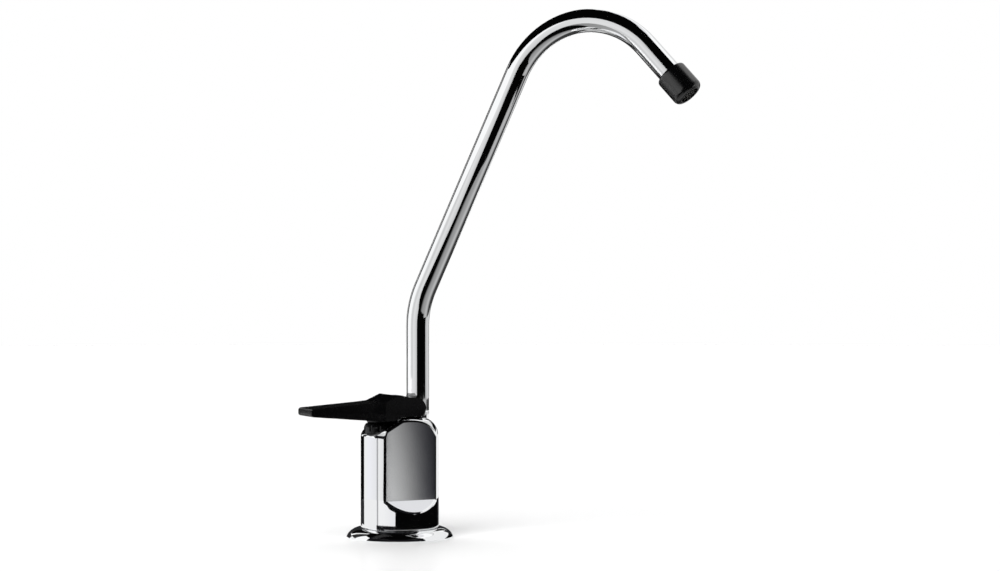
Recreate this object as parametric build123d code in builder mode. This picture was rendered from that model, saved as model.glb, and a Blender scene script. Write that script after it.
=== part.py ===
from build123d import *
import os
from math import cos, radians, sin, tan

os.makedirs("parts", exist_ok=True)

# Drinking-water filter tap for a hole in a sink or worktop, in millimetres.
# The origin is the centre of the fixing hole on the worktop's surface and +Z is up.
# The lever points along -X and the spout stands on the +X side, turned to one side.

# Fits and gaps
RUNNING_GAP = 0.06
CONTACT_GAP = 0.05
LOOSE_GAP = 0.3
THREAD_GAP = 0.05
SWING_GAP = 1.2

# How far a cut runs on past the face it starts from
CUT_PAST = 1.0

# Column of the casting
COLUMN_R = 17.0
COLUMN_TOP_Z = 52.7
COLUMN_EDGE_R = 9.0
COLUMN_FOOT_R = 0.6
FLAT_Y = 12.0
FLAT_BOTTOM_Z = 17.0
SHELF_ANGLE = 45
CUT_EDGE_R = 1.5
SHOULDER_Z = 45.8
SHOULDER_X = -14.9
SHOULDER_ANGLE = 29.5
SPIGOT_R = 11.0

# Flange and its gasket
FLANGE_R = 23.3
FLANGE_TOP_Z = 4.3
FLANGE_LAND_R = 17.5
FLANGE_DOME_R = 6.6
FLANGE_RIM_H = 0.6
FLANGE_SHEET = 1.2
GASKET_R = 18.0
GASKET_T = 1.6

# Threaded shank, with a push-in socket for the supply tube at its foot
SHANK_R = 5.55
SHANK_TOP_Z = 13.0
SHANK_FOOT_Z = -60.0
SHANK_BORE_R = 2.75
INLET_R = 3.25
INLET_DEPTH = 10.0
INLET_CHAMFER = 1.0

# Valve in the front of the casting
VALVE_X = -8.7
SEAT_BORE_R = 2.4
SEAT_Z = 24.0
SEAT_LIP = 1.0
SEAT_LIP_H = 1.2
CHAMBER_R = 5.0
CHAMBER_TOP_Z = 37.5
INLET_WAY_Z = 17.5
OUTLET_WAY_Z = 29.8
OUTLET_WAY_R = 2.3
OUTLET_WELL_Z = 26.8

# Bonnet that closes the valve
BONNET_THREAD_R = 6.15
BONNET_R = 7.6
BONNET_H = 4.8
BONNET_EDGE_R = 2.8
BONNET_POCKET_R = 4.7
BONNET_ROOF_Z = 43.2
BONNET_FLUTES = 12
BONNET_FLUTE_R = 1.0
BONNET_FLUTE_DEPTH = 0.45
BONNET_FLANGE_H = 0.9
BONNET_SEAL_R = 0.6

# Valve stem and what is on it
STEM_R = 2.5
STEM_FOOT_R = 4.4
STEM_FOOT_H = 2.4
STEM_FLAT_Y = 1.9
STEM_FLAT_H = 4.2
STEM_SEAL_R = 1.0
SEAT_WASHER_R = 4.0
SEAT_WASHER_T = 2.0
SEAT_SCREW_R = 1.0
SEAT_SCREW_HEAD_R = 1.9
SEAT_SCREW_HEAD_H = 1.1
SEAT_SCREW_LENGTH = 3.4
SPRING_WASHER_T = 0.8
SPRING_WIRE_R = 0.4
SPRING_COIL_R = 3.5
SPRING_TURNS = 6

# Lever and its pin
PIN_Z = 55.6
PIN_R = 1.25
PIN_LENGTH = 18.0
LEVER_PRESS = 12
LIFT_MARGIN = 0.0375
LEVER_TIP_X = -44.2
LEVER_TIP_LOW_Z = 53.8
LEVER_TIP_TOP_Z = 57.3
LEVER_TIP_Y = 8.0
LEVER_TIP_CORNER_R = 1.6
LEVER_NECK_X = -16.0
LEVER_NECK_Y = 9.2
LEVER_LOW_X = -14.0
LEVER_LOW_Z = 51.35
HUB_RAMP_X = -11.2
HUB_RAMP_Z = 59.55
HUB_PEAK_X = -5.0
HUB_PEAK_Z = 62.3
HUB_TOP_X = 0.0
HUB_TOP_Z = 61.5
HUB_Y = 11.0
HUB_REAR_X = 7.9
HUB_REAR_R = 5.5
HUB_HEEL_X = -6.9
HUB_ARM_X = -3.6
HUB_CORNER_R = 2.2
HUB_PAD_R = 6.4
HUB_ARM_GAP = 0.4

# Spout: upright run, bend, slanted run, hook and short end run
SPOUT_X = 8.5
SPOUT_TURN = -51
TUBE_R = 5.0
TUBE_WALL = 1.0
BEND_Z = 92.0
BEND_R = 39.0
SLANT_ANGLE = 25.6
SLANT_LENGTH = 102.5
HOOK_R = 35.8
HOOK_ANGLE = 112.2
END_RUN = 24.0
SLOT_GAP = 1.2

# Spout socket in the rear of the casting
SOCKET_R = 6.5
SOCKET_FLOOR_Z = 32.5
FERRULE_TOP_Z = 45.9
FERRULE_SEAL_Z = (36.4, 41.4)
FERRULE_SEAL_R = 0.57
SEAL_STAND = 0.015
CLIP_BORE_R = 5.6
CLIP_OPENING = 5.0
CLIP_GROOVE_R = 7.1
CLIP_T = 1.0
BUSH_TOP_Z = 49.0

# Black tip on the spout
TIP_R = 6.7
TIP_LENGTH = 13.0
TIP_COVER = 8.0
TIP_TOP_EDGE_R = 1.3
TIP_LOW_EDGE_R = 2.2
TIP_MOUTH_R = 4.1
STRAIGHTENER_T = 2.0
STRAIGHTENER_HOLE_R = 0.65
STRAIGHTENER_HOLES = 6

# Fixing stack under the worktop, at rest on a worktop 20 thick
WORKTOP_T = 20.0
RUBBER_WASHER_R = 15.0
RUBBER_WASHER_T = 3.0
LOCATING_WASHER_R = 14.0
LOCATING_WASHER_T = 3.0
LOCATING_WASHER_RIM = 1.5
LOCK_WASHER_R = 9.5
LOCK_WASHER_T = 1.0
LOCK_RING_R = 7.05
LOCK_TEETH = 12
LOCK_TOOTH_LENGTH = 1.8
LOCK_TOOTH_WIDTH = 1.5
FIXING_NUT_ACROSS = 17.5
FIXING_NUT_T = 6.0

# Compression nut and sleeve for the supply tube
TUBE_NUT_ACROSS = 16.0
TUBE_NUT_T = 13.0
TUBE_NUT_GRIP = 5.0
TUBE_NUT_FLOOR = 3.2
SLEEVE_R = 4.7
SLEEVE_BORE_R = 3.2

# Bevel on the corners of both nuts
NUT_BEVEL_H = 0.8
NUT_BEVEL_W = 1.6


# Heights and lengths that follow from the sizes above
foot_z = FLANGE_TOP_Z
bonnet_top_z = SHOULDER_Z + BONNET_H
bonnet_flat_r = BONNET_R - BONNET_EDGE_R
pad_z = bonnet_top_z + CONTACT_GAP
arm_z = COLUMN_TOP_Z + HUB_ARM_GAP
stem_foot_z = SEAT_Z + CONTACT_GAP + SEAT_WASHER_T
spring_foot_z = stem_foot_z + STEM_FOOT_H
seal_z = BONNET_ROOF_Z - STEM_SEAL_R - CONTACT_GAP
spring_top_z = seal_z - STEM_SEAL_R - CONTACT_GAP - SPRING_WASHER_T
eye_foot_z = PIN_Z - STEM_FLAT_H
pin_clear_r = PIN_R + RUNNING_GAP
bonnet_bore_r = BONNET_THREAD_R + THREAD_GAP
bonnet_seal_room = 2 * (BONNET_SEAL_R + THREAD_GAP)
ferrule_foot_z = SOCKET_FLOOR_Z + LOOSE_GAP
clip_z = FERRULE_TOP_Z + LOOSE_GAP
bush_foot_z = clip_z + CLIP_T + 2 * CONTACT_GAP
press = radians(LEVER_PRESS)

# Pressing the lever rolls its pad over the bonnet's rounded edge, which lifts the pin and the stem.
pad_lift = (
    (PIN_Z - pad_z + BONNET_EDGE_R) * (1 / cos(press) - 1) + bonnet_flat_r * tan(press)
)
stem_lift = pad_lift + LIFT_MARGIN
print("stem lift at full press:", round(stem_lift, 3))

valve_axis = Axis((VALVE_X, 0, 0), (0, 0, 1))
valve_plane = Plane(origin=(VALVE_X, 0, 0), x_dir=(1, 0, 0), z_dir=(0, -1, 0))
spout_axis = Axis((SPOUT_X, 0, 0), (0, 0, 1))
socket_plane = Plane(origin=(SPOUT_X, 0, 0), x_dir=(1, 0, 0), z_dir=(0, -1, 0))
spout_way = Vector(cos(radians(SPOUT_TURN)), sin(radians(SPOUT_TURN)), 0)
spout_plane = Plane(
    origin=(SPOUT_X, 0, 0), x_dir=spout_way, z_dir=spout_way.cross(Vector(0, 0, 1))
)


# Casting: round column with two flats, a sloped shoulder at the front and a domed rear edge
with BuildPart() as body_casting:
    with BuildSketch(Plane.XY.offset(foot_z)):
        Circle(COLUMN_R)
    extrude(amount=COLUMN_TOP_Z - foot_z)
    fillet(body_casting.edges().group_by(Axis.Z)[-1], COLUMN_EDGE_R)
    fillet(body_casting.edges().group_by(Axis.Z)[0], COLUMN_FOOT_R)
    with BuildSketch(Plane.XZ):
        shoulder_run = (COLUMN_TOP_Z + CUT_PAST - SHOULDER_Z) / tan(radians(SHOULDER_ANGLE))
        with BuildLine():
            Polyline(
                (-COLUMN_R - CUT_PAST, SHOULDER_Z),
                (SHOULDER_X, SHOULDER_Z),
                (SHOULDER_X + shoulder_run, COLUMN_TOP_Z + CUT_PAST),
                (-COLUMN_R - CUT_PAST, COLUMN_TOP_Z + CUT_PAST),
                close=True,
            )
        make_face()
    extrude(amount=COLUMN_R, both=True, mode=Mode.SUBTRACT)
    shelf_out = COLUMN_R + CUT_PAST
    shelf_drop = (shelf_out - FLAT_Y) * tan(radians(SHELF_ANGLE))
    for side in (-1, 1):
        with BuildSketch(Plane.YZ):
            with BuildLine():
                Polyline(
                    (side * FLAT_Y, COLUMN_TOP_Z + CUT_PAST),
                    (side * FLAT_Y, FLAT_BOTTOM_Z),
                    (side * shelf_out, FLAT_BOTTOM_Z - shelf_drop),
                    (side * shelf_out, COLUMN_TOP_Z + CUT_PAST),
                    close=True,
                )
            make_face()
        extrude(amount=COLUMN_R, both=True, mode=Mode.SUBTRACT)
    # Rounded outer edges on the flats, shelves and shoulder, but not the inside corners
    planes = body_casting.faces().filter_by(GeomType.PLANE)
    flats = planes.filter_by(Axis.Y)
    shelves = planes.filter_by(lambda face: 0.01 < abs(face.normal_at().Y) < 0.99)
    shoulder = planes.filter_by(
        lambda face: abs(face.normal_at().Y) < 0.01 and SHOULDER_Z - 1 < face.center().Z
    ).sort_by(Axis.X)[0:2]
    inside_corners = [flat.edges().sort_by(Axis.Z)[0].center() for flat in flats]
    side_edges = [
        edge
        for edge in flats.edges() + shelves.edges()
        if min((edge.center() - corner).length for corner in inside_corners) > 0.01
    ]
    shoulder_edges = [edge for edge in shoulder.edges() if edge.geom_type != GeomType.LINE]
    fillet(side_edges + shoulder_edges, CUT_EDGE_R)
    # Spigot that centres the flange
    with BuildSketch(Plane.XY.offset(GASKET_T)):
        Circle(SPIGOT_R)
    extrude(amount=foot_z - GASKET_T)
    # Threaded hole for the shank and the way up to the valve seat
    with BuildSketch(Plane.XY.offset(GASKET_T)):
        Circle(SHANK_R + THREAD_GAP)
    extrude(amount=SHANK_TOP_Z + LOOSE_GAP - GASKET_T, mode=Mode.SUBTRACT)
    with BuildSketch(Plane.XY.offset(SHANK_TOP_Z)):
        Circle(SHANK_BORE_R)
    extrude(amount=INLET_WAY_Z - SHANK_TOP_Z, mode=Mode.SUBTRACT)
    with BuildSketch(Plane.YZ):
        with Locations((0, INLET_WAY_Z)):
            Circle(SEAT_BORE_R)
    extrude(amount=VALVE_X, mode=Mode.SUBTRACT)
    # Valve bore, seat lip and seat bore
    with BuildSketch(valve_plane):
        with BuildLine():
            Polyline(
                (0, INLET_WAY_Z),
                (SEAT_BORE_R, INLET_WAY_Z),
                (SEAT_BORE_R, SEAT_Z),
                (SEAT_BORE_R + SEAT_LIP, SEAT_Z),
                (SEAT_BORE_R + SEAT_LIP, SEAT_Z - SEAT_LIP_H),
                (CHAMBER_R, SEAT_Z - SEAT_LIP_H),
                (CHAMBER_R, CHAMBER_TOP_Z),
                (bonnet_bore_r, CHAMBER_TOP_Z),
                (bonnet_bore_r, SHOULDER_Z - bonnet_seal_room),
                (BONNET_THREAD_R + bonnet_seal_room, SHOULDER_Z - bonnet_seal_room),
                (BONNET_THREAD_R + bonnet_seal_room, SHOULDER_Z),
                (BONNET_R + LOOSE_GAP, SHOULDER_Z),
                (BONNET_R + LOOSE_GAP, COLUMN_TOP_Z + CUT_PAST),
                (0, COLUMN_TOP_Z + CUT_PAST),
                close=True,
            )
        make_face()
    revolve(axis=valve_axis, mode=Mode.SUBTRACT)
    # Spout socket with the groove for its clip, and the way across from the valve
    with BuildSketch(socket_plane):
        with BuildLine():
            Polyline(
                (0, OUTLET_WELL_Z),
                (TUBE_R - TUBE_WALL, OUTLET_WELL_Z),
                (TUBE_R - TUBE_WALL, SOCKET_FLOOR_Z),
                (SOCKET_R, SOCKET_FLOOR_Z),
                (SOCKET_R, clip_z),
                (CLIP_GROOVE_R, clip_z),
                (CLIP_GROOVE_R, bush_foot_z),
                (SOCKET_R, bush_foot_z),
                (SOCKET_R, COLUMN_TOP_Z + CUT_PAST),
                (0, COLUMN_TOP_Z + CUT_PAST),
                close=True,
            )
        make_face()
    revolve(axis=spout_axis, mode=Mode.SUBTRACT)
    with BuildSketch(Plane.YZ.offset(VALVE_X)):
        with Locations((0, OUTLET_WAY_Z)):
            Circle(OUTLET_WAY_R)
    extrude(amount=SPOUT_X - VALVE_X, mode=Mode.SUBTRACT)
body_casting.part.label = "body_casting"
export_step(body_casting.part, "parts/body_casting.step")


# Flange: pressed sheet dome that covers the hole in the worktop
with BuildPart() as flange:
    flange_bore_r = SPIGOT_R + CONTACT_GAP
    sheet_land_z = FLANGE_TOP_Z - FLANGE_SHEET
    sheet_rim_r = FLANGE_R - FLANGE_SHEET
    with BuildSketch(Plane.XZ):
        with BuildLine():
            Polyline(
                (FLANGE_LAND_R, FLANGE_TOP_Z),
                (flange_bore_r, FLANGE_TOP_Z),
                (flange_bore_r, sheet_land_z),
                (FLANGE_LAND_R, sheet_land_z),
            )
            RadiusArc((FLANGE_LAND_R, sheet_land_z), (sheet_rim_r, 0), FLANGE_DOME_R - FLANGE_SHEET)
            Polyline((sheet_rim_r, 0), (FLANGE_R, 0), (FLANGE_R, FLANGE_RIM_H))
            RadiusArc((FLANGE_R, FLANGE_RIM_H), (FLANGE_LAND_R, FLANGE_TOP_Z), -FLANGE_DOME_R)
        make_face()
    revolve(axis=Axis.Z)
flange.part.label = "flange"
export_step(flange.part, "parts/flange.step")


# Gasket between the casting's spigot and the worktop
with BuildPart() as flange_gasket:
    with BuildSketch(Plane.XY):
        Circle(GASKET_R)
        Circle(SHANK_R + CONTACT_GAP, mode=Mode.SUBTRACT)
    extrude(amount=GASKET_T)
flange_gasket.part.label = "flange_gasket"
export_step(flange_gasket.part, "parts/flange_gasket.step")


# Threaded shank: hollow, screwed into the casting
with BuildPart() as threaded_shank:
    with BuildSketch(Plane.XY.offset(SHANK_FOOT_Z)):
        Circle(SHANK_R)
    extrude(amount=SHANK_TOP_Z - SHANK_FOOT_Z)
    with BuildSketch(Plane.XY.offset(SHANK_FOOT_Z)):
        Circle(SHANK_BORE_R)
    extrude(amount=SHANK_TOP_Z - SHANK_FOOT_Z, mode=Mode.SUBTRACT)
    with BuildSketch(Plane.XY.offset(SHANK_FOOT_Z)):
        Circle(INLET_R)
    extrude(amount=INLET_DEPTH, mode=Mode.SUBTRACT)
    chamfer(
        threaded_shank.edges().group_by(Axis.Z)[0].sort_by(SortBy.RADIUS)[0], INLET_CHAMFER
    )
threaded_shank.part.label = "threaded_shank"
export_step(threaded_shank.part, "parts/threaded_shank.step")


# Bonnet: black nut that closes the valve and carries the lever's pad
with BuildPart() as bonnet:
    with BuildSketch(valve_plane):
        with BuildLine():
            Polyline(
                (BONNET_R, bonnet_top_z - BONNET_EDGE_R),
                (BONNET_R, SHOULDER_Z),
                (BONNET_THREAD_R, SHOULDER_Z),
                (BONNET_THREAD_R, CHAMBER_TOP_Z),
                (BONNET_POCKET_R, CHAMBER_TOP_Z),
                (BONNET_POCKET_R, BONNET_ROOF_Z),
                (STEM_R + RUNNING_GAP, BONNET_ROOF_Z),
                (STEM_R + RUNNING_GAP, bonnet_top_z),
                (bonnet_flat_r, bonnet_top_z),
            )
            RadiusArc(
                (bonnet_flat_r, bonnet_top_z),
                (BONNET_R, bonnet_top_z - BONNET_EDGE_R),
                BONNET_EDGE_R,
            )
        make_face()
    revolve(axis=valve_axis)
    # Grip flutes round the head, above a plain flange
    with BuildSketch(Plane.XY.offset(SHOULDER_Z + BONNET_FLANGE_H)):
        with Locations((VALVE_X, 0)):
            with PolarLocations(BONNET_R + BONNET_FLUTE_R - BONNET_FLUTE_DEPTH, BONNET_FLUTES):
                Circle(BONNET_FLUTE_R)
    extrude(amount=BONNET_H, mode=Mode.SUBTRACT)
bonnet.part.label = "bonnet"
export_step(bonnet.part, "parts/bonnet.step")


# Seal under the bonnet's head
with BuildPart() as bonnet_seal:
    with BuildSketch(valve_plane):
        with Locations(
            (BONNET_THREAD_R + BONNET_SEAL_R + THREAD_GAP, SHOULDER_Z - BONNET_SEAL_R - THREAD_GAP)
        ):
            Circle(BONNET_SEAL_R)
    revolve(axis=valve_axis)
bonnet_seal.part.label = "bonnet_seal"
export_step(bonnet_seal.part, "parts/bonnet_seal.step")


# Seal ring round the stem, in the bonnet's pocket
with BuildPart() as stem_seal:
    with BuildSketch(valve_plane):
        with Locations((STEM_R + CONTACT_GAP + STEM_SEAL_R, seal_z)):
            Circle(STEM_SEAL_R)
    revolve(axis=valve_axis)
stem_seal.part.label = "stem_seal"
export_step(stem_seal.part, "parts/stem_seal.step")


# Washer that the spring pushes against the seal
with BuildPart() as spring_washer:
    with BuildSketch(Plane.XY.offset(spring_top_z)):
        with Locations((VALVE_X, 0)):
            Circle(BONNET_POCKET_R - THREAD_GAP)
            Circle(STEM_R + LOOSE_GAP, mode=Mode.SUBTRACT)
    extrude(amount=SPRING_WASHER_T)
spring_washer.part.label = "spring_washer"
export_step(spring_washer.part, "parts/spring_washer.step")


# Return spring: round wire in six turns with flat ground ends
with BuildPart() as return_spring:
    spring_pitch = (spring_top_z - spring_foot_z) / SPRING_TURNS
    with BuildLine() as spring_route:
        Helix(
            pitch=spring_pitch,
            height=spring_top_z - spring_foot_z,
            radius=SPRING_COIL_R,
            center=(VALVE_X, 0, spring_foot_z),
        )
    with BuildSketch(Plane(origin=spring_route.line @ 0, z_dir=spring_route.line % 0)):
        Circle(SPRING_WIRE_R)
    sweep(path=spring_route.line, is_frenet=True)
    with BuildSketch(Plane.XY.offset(spring_foot_z)):
        with Locations((VALVE_X, 0)):
            Circle(CHAMBER_R)
    extrude(amount=spring_top_z - spring_foot_z, mode=Mode.INTERSECT)
return_spring.part.label = "return_spring"
export_step(return_spring.part, "parts/return_spring.step")


# Valve stem: foot that holds the washer, round rod, flattened eye for the lever's pin
with BuildPart() as valve_stem:
    with BuildSketch(Plane.XY.offset(stem_foot_z)):
        with Locations((VALVE_X, 0)):
            Circle(STEM_FOOT_R)
    extrude(amount=STEM_FOOT_H)
    with BuildSketch(Plane.XY.offset(spring_foot_z)):
        with Locations((VALVE_X, 0)):
            Circle(STEM_R)
    extrude(amount=PIN_Z + STEM_R - spring_foot_z)
    for side in (-1, 1):
        with BuildSketch(Plane.XY.offset(eye_foot_z)):
            with Locations((VALVE_X, side * (STEM_FLAT_Y + STEM_R))):
                Rectangle(2 * STEM_R + CUT_PAST, 2 * STEM_R)
        extrude(amount=STEM_FLAT_H + STEM_R + CUT_PAST, mode=Mode.SUBTRACT)
    # Rounded crown about the pin
    with BuildSketch(Plane.XZ):
        with Locations((VALVE_X, PIN_Z + STEM_R)):
            Rectangle(2 * STEM_R, 2 * STEM_R)
        with Locations((VALVE_X, PIN_Z)):
            Circle(STEM_R, mode=Mode.SUBTRACT)
    extrude(amount=STEM_R, both=True, mode=Mode.SUBTRACT)
    with BuildSketch(Plane.XZ):
        with Locations((VALVE_X, PIN_Z)):
            Circle(pin_clear_r)
    extrude(amount=STEM_R, both=True, mode=Mode.SUBTRACT)
    with BuildSketch(Plane.XY.offset(stem_foot_z)):
        with Locations((VALVE_X, 0)):
            Circle(SEAT_SCREW_R + THREAD_GAP)
    extrude(amount=SEAT_SCREW_LENGTH - SEAT_WASHER_T + LOOSE_GAP, mode=Mode.SUBTRACT)
valve_stem.part.label = "valve_stem"
export_step(valve_stem.part, "parts/valve_stem.step")


# Soft washer that closes on the seat
with BuildPart() as seat_washer:
    with BuildSketch(Plane.XY.offset(stem_foot_z - SEAT_WASHER_T)):
        with Locations((VALVE_X, 0)):
            Circle(SEAT_WASHER_R)
            Circle(SEAT_SCREW_R + THREAD_GAP, mode=Mode.SUBTRACT)
    extrude(amount=SEAT_WASHER_T)
seat_washer.part.label = "seat_washer"
export_step(seat_washer.part, "parts/seat_washer.step")


# Screw that holds the washer on the stem
with BuildPart() as seat_screw:
    with BuildSketch(Plane.XY.offset(stem_foot_z - SEAT_WASHER_T)):
        with Locations((VALVE_X, 0)):
            Circle(SEAT_SCREW_R)
    extrude(amount=SEAT_SCREW_LENGTH)
    with BuildSketch(Plane.XY.offset(stem_foot_z - SEAT_WASHER_T - SEAT_SCREW_HEAD_H)):
        with Locations((VALVE_X, 0)):
            Circle(SEAT_SCREW_HEAD_R)
    extrude(amount=SEAT_SCREW_HEAD_H)
seat_screw.part.label = "seat_screw"
export_step(seat_screw.part, "parts/seat_screw.step")


# Lever: flat paddle, raised hub over the stem and two arms on either side of the spout
with BuildPart() as lever:
    with BuildSketch(Plane.XZ) as lever_side:
        with BuildLine():
            Polyline(
                (LEVER_TIP_X, LEVER_TIP_LOW_Z),
                (LEVER_LOW_X, LEVER_LOW_Z),
                (HUB_HEEL_X, LEVER_LOW_Z),
                (HUB_ARM_X, arm_z),
                (HUB_REAR_X, arm_z),
                (HUB_REAR_X, HUB_TOP_Z),
                (HUB_TOP_X, HUB_TOP_Z),
                (HUB_PEAK_X, HUB_PEAK_Z),
                (HUB_RAMP_X, HUB_RAMP_Z),
                (LEVER_TIP_X, LEVER_TIP_TOP_Z),
                close=True,
            )
        make_face()
        fillet(
            lever_side.vertices().sort_by_distance((HUB_REAR_X, 0, HUB_TOP_Z))[0], HUB_REAR_R
        )
    extrude(amount=HUB_Y, both=True)
    with BuildSketch(Plane.XY.offset(LEVER_LOW_Z - CUT_PAST)) as lever_plan:
        with BuildLine():
            Polyline(
                (LEVER_TIP_X, -LEVER_TIP_Y),
                (LEVER_NECK_X, -LEVER_NECK_Y),
                (HUB_RAMP_X, -HUB_Y),
                (HUB_REAR_X, -HUB_Y),
                (HUB_REAR_X, HUB_Y),
                (HUB_RAMP_X, HUB_Y),
                (LEVER_NECK_X, LEVER_NECK_Y),
                (LEVER_TIP_X, LEVER_TIP_Y),
                close=True,
            )
        make_face()
        fillet(lever_plan.vertices().group_by(Axis.X)[0], LEVER_TIP_CORNER_R)
        fillet(lever_plan.vertices().group_by(Axis.X)[-1], HUB_CORNER_R)
    extrude(amount=HUB_PEAK_Z - LEVER_LOW_Z + 2 * CUT_PAST, mode=Mode.INTERSECT)
    # Round pad under the hub, which rests on the bonnet
    with BuildSketch(Plane.XY.offset(pad_z)):
        with Locations((VALVE_X, 0)):
            Circle(HUB_PAD_R)
    extrude(amount=arm_z - pad_z)
    # Slot that straddles the spout, open to the rear
    with BuildSketch(Plane.XY.offset(pad_z)):
        slot_r = TUBE_R + SLOT_GAP
        with Locations((SPOUT_X - SLOT_GAP, 0)):
            Circle(slot_r)
        with Locations((SPOUT_X - SLOT_GAP + HUB_REAR_X, 0)):
            Rectangle(2 * HUB_REAR_X, 2 * slot_r)
    extrude(amount=HUB_PEAK_Z - pad_z + CUT_PAST, mode=Mode.SUBTRACT)
    # Pocket for the stem and its eye, and the pin's hole, blind on the -Y side
    with BuildSketch(Plane.XY.offset(pad_z)):
        with Locations((VALVE_X, 0)):
            Rectangle(2 * (STEM_R + SWING_GAP), 2 * (STEM_FLAT_Y + LOOSE_GAP))
    extrude(amount=PIN_Z + STEM_R + LOOSE_GAP - pad_z, mode=Mode.SUBTRACT)
    with BuildSketch(Plane.XY.offset(pad_z)):
        with Locations((VALVE_X, 0)):
            Circle(STEM_R + SWING_GAP)
    extrude(amount=eye_foot_z + SWING_GAP - pad_z, mode=Mode.SUBTRACT)
    with BuildSketch(Plane.XZ.offset(PIN_LENGTH / 2)):
        with Locations((VALVE_X, PIN_Z)):
            Circle(PIN_R)
    extrude(amount=-PIN_LENGTH / 2 - HUB_Y, mode=Mode.SUBTRACT)
lever.part.label = "lever"
export_step(lever.part, "parts/lever.step")


# Steel pin pressed into the lever, on which the stem's eye turns
with BuildPart() as lever_pin:
    with BuildSketch(Plane.XZ.offset(PIN_LENGTH / 2)):
        with Locations((VALVE_X, PIN_Z)):
            Circle(PIN_R)
    extrude(amount=-PIN_LENGTH)
lever_pin.part.label = "lever_pin"
export_step(lever_pin.part, "parts/lever_pin.step")


# Spout tube, bent from one length
with BuildPart() as spout_tube:
    with BuildLine(spout_plane) as spout_route:
        upright_run = Line((0, ferrule_foot_z), (0, BEND_Z))
        lower_bend = JernArc(upright_run @ 1, upright_run % 1, BEND_R, -SLANT_ANGLE)
        slant_run = Line(lower_bend @ 1, lower_bend @ 1 + (lower_bend % 1) * SLANT_LENGTH)
        hook = JernArc(slant_run @ 1, slant_run % 1, HOOK_R, -HOOK_ANGLE)
        end_run = Line(hook @ 1, hook @ 1 + (hook % 1) * END_RUN)
    with BuildSketch(Plane.XY.offset(ferrule_foot_z)):
        with Locations((SPOUT_X, 0)):
            Circle(TUBE_R)
            Circle(TUBE_R - TUBE_WALL, mode=Mode.SUBTRACT)
    sweep(path=spout_route.line)
spout_tube.part.label = "spout_tube"
export_step(spout_tube.part, "parts/spout_tube.step")

# The tip and what is in it are placed along the spout's end run.
tip_start = END_RUN - TIP_COVER
end_plane = Plane(origin=end_run @ 0, x_dir=spout_plane.z_dir, z_dir=end_run % 0)


# Ferrule brazed on the foot of the spout, with two seal grooves
with BuildPart() as spout_ferrule:
    ferrule_r = SOCKET_R - RUNNING_GAP
    groove_r = ferrule_r - 2 * FERRULE_SEAL_R
    with BuildSketch(Plane.XY.offset(ferrule_foot_z)):
        with Locations((SPOUT_X, 0)):
            Circle(ferrule_r)
            Circle(TUBE_R, mode=Mode.SUBTRACT)
    extrude(amount=FERRULE_TOP_Z - ferrule_foot_z)
    for z in FERRULE_SEAL_Z:
        with BuildSketch(Plane.XY.offset(z - FERRULE_SEAL_R - CONTACT_GAP)):
            with Locations((SPOUT_X, 0)):
                Circle(ferrule_r + CUT_PAST)
                Circle(groove_r, mode=Mode.SUBTRACT)
        extrude(amount=2 * (FERRULE_SEAL_R + CONTACT_GAP), mode=Mode.SUBTRACT)
spout_ferrule.part.label = "spout_ferrule"
export_step(spout_ferrule.part, "parts/spout_ferrule.step")


# Two seal rings in the ferrule's grooves
with BuildPart() as spout_seals:
    with BuildSketch(socket_plane):
        for z in FERRULE_SEAL_Z:
            with Locations((groove_r + FERRULE_SEAL_R + SEAL_STAND, z)):
                Circle(FERRULE_SEAL_R)
    revolve(axis=spout_axis)
spout_seals.part.label = "spout_seals"
export_step(spout_seals.part, "parts/spout_seals.step")


# Open clip in the socket's groove, which keeps the spout in
with BuildPart() as spout_clip:
    with BuildSketch(Plane.XY.offset(clip_z + CONTACT_GAP)):
        with Locations((SPOUT_X, 0)):
            Circle(CLIP_GROOVE_R - CONTACT_GAP)
            Circle(CLIP_BORE_R, mode=Mode.SUBTRACT)
        with Locations((SPOUT_X - CLIP_GROOVE_R, 0)):
            Rectangle(CLIP_GROOVE_R, CLIP_OPENING, mode=Mode.SUBTRACT)
    extrude(amount=CLIP_T)
spout_clip.part.label = "spout_clip"
export_step(spout_clip.part, "parts/spout_clip.step")


# Plastic bush that guides the spout at the socket's mouth
with BuildPart() as spout_bush:
    with BuildSketch(Plane.XY.offset(bush_foot_z)):
        with Locations((SPOUT_X, 0)):
            Circle(SOCKET_R - CONTACT_GAP)
            Circle(TUBE_R + RUNNING_GAP, mode=Mode.SUBTRACT)
    extrude(amount=BUSH_TOP_Z - bush_foot_z)
spout_bush.part.label = "spout_bush"
export_step(spout_bush.part, "parts/spout_bush.step")


# Black tip on the end of the spout
with BuildPart() as spout_tip:
    with BuildSketch(end_plane.offset(tip_start)):
        Circle(TIP_R)
    extrude(amount=TIP_LENGTH)
    tip_rims = spout_tip.edges().sort_by(Axis(end_plane.origin, end_plane.z_dir))
    fillet(tip_rims[-1], TIP_LOW_EDGE_R)
    tip_rims = spout_tip.edges().sort_by(Axis(end_plane.origin, end_plane.z_dir))
    fillet(tip_rims[0], TIP_TOP_EDGE_R)
    with BuildSketch(end_plane.offset(tip_start)):
        Circle(TUBE_R)
    extrude(amount=TIP_COVER + STRAIGHTENER_T, mode=Mode.SUBTRACT)
    with BuildSketch(end_plane.offset(tip_start)):
        Circle(TIP_MOUTH_R)
    extrude(amount=TIP_LENGTH, mode=Mode.SUBTRACT)
spout_tip.part.label = "spout_tip"
export_step(spout_tip.part, "parts/spout_tip.step")


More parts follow.
